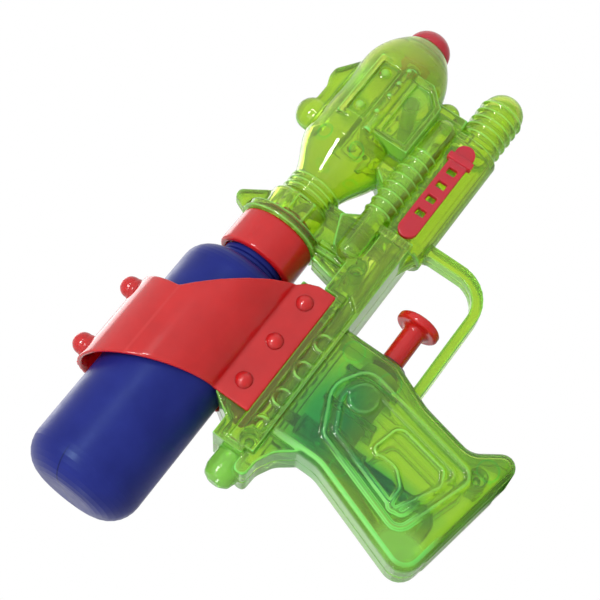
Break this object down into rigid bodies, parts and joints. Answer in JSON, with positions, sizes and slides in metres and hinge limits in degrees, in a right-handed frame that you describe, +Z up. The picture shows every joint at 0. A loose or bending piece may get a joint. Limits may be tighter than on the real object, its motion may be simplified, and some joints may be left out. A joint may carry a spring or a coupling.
{
  "type": "toy water squirter",
  "caption": "Hand-held toy water squirter with a screw-on bottle lying over a clear moulded body, a strap over the bottle and a plunger trigger that works a piston pump in the grip.",
  "frame": {"origin": "on the ground plane under the lowest point of the butt, in the middle of the length and of the width", "axes": "+X towards the nozzle, +Y to the left side, +Z up"},
  "size_m": [0.22, 0.049, 0.1479],
  "materials": {
    "body_green": "clear, glossy",
    "trim_red": "glossy",
    "bottle_blue": "satin",
    "fitting_white": "satin",
    "seal_black": "matt",
    "clear_plastic": "clear",
    "steel": "plain"
  },
  "bodies": {
    "body": {"right_shell": "body_green", "left_shell": "body_green", "tank_collar": "trim_red", "tank_spigot": "fitting_white", "dip_tube": "fitting_white", "tank_strap": "trim_red", "strap_rivets": "trim_red", "nozzle_tip": "trim_red", "nozzle_jet": "fitting_white", "side_clip": "trim_red", "pump_cylinder": "fitting_white", "gland_bush": "seal_black", "gland_seal": "seal_black", "return_spring": "steel", "valve_block": "clear_plastic", "inlet_fitting": "fitting_white", "outlet_fitting": "fitting_white", "suction_hose": "clear_plastic", "outlet_hose": "clear_plastic"},
    "plunger": {"trigger": "trim_red", "piston": "fitting_white", "piston_seal": "seal_black"},
    "gasket": {"neck_gasket": "seal_black"},
    "tank": {"tank_bottle": "bottle_blue"},
    "inlet_valve": {"inlet_ball": "steel"},
    "outlet_valve": {"outlet_ball": "steel"}
  },
  "joints": [
    {"name": "trigger_slide", "type": "slide", "parent": "body", "child": "plunger", "axis": [-1, 0, 0], "range_m": [0, 0.01], "stiffness_N_per_m": 200, "springref_m": -0.008, "deforming": ["return_spring"]},
    {"name": "tank_slide", "type": "slide", "parent": "body", "child": "gasket", "axis": [-1, 0, 0], "range_m": [0, 0.0075]},
    {"name": "tank_turn", "type": "hinge", "parent": "gasket", "child": "tank", "pos_m": [0, 0, 0.115], "axis": [-1, 0, 0], "range_deg": [0, 900]},
    {"name": "inlet_lift", "type": "slide", "parent": "body", "child": "inlet_valve", "axis": [0, 0, 1], "range_m": [0, 0.001]},
    {"name": "outlet_lift", "type": "slide", "parent": "body", "child": "outlet_valve", "axis": [0, 0, 1], "range_m": [0, 0.001]}
  ],
  "couplings": [
    {"joint": "tank_slide", "follows": "tank_turn", "m_per_rad": 0.00047746}
  ]
}
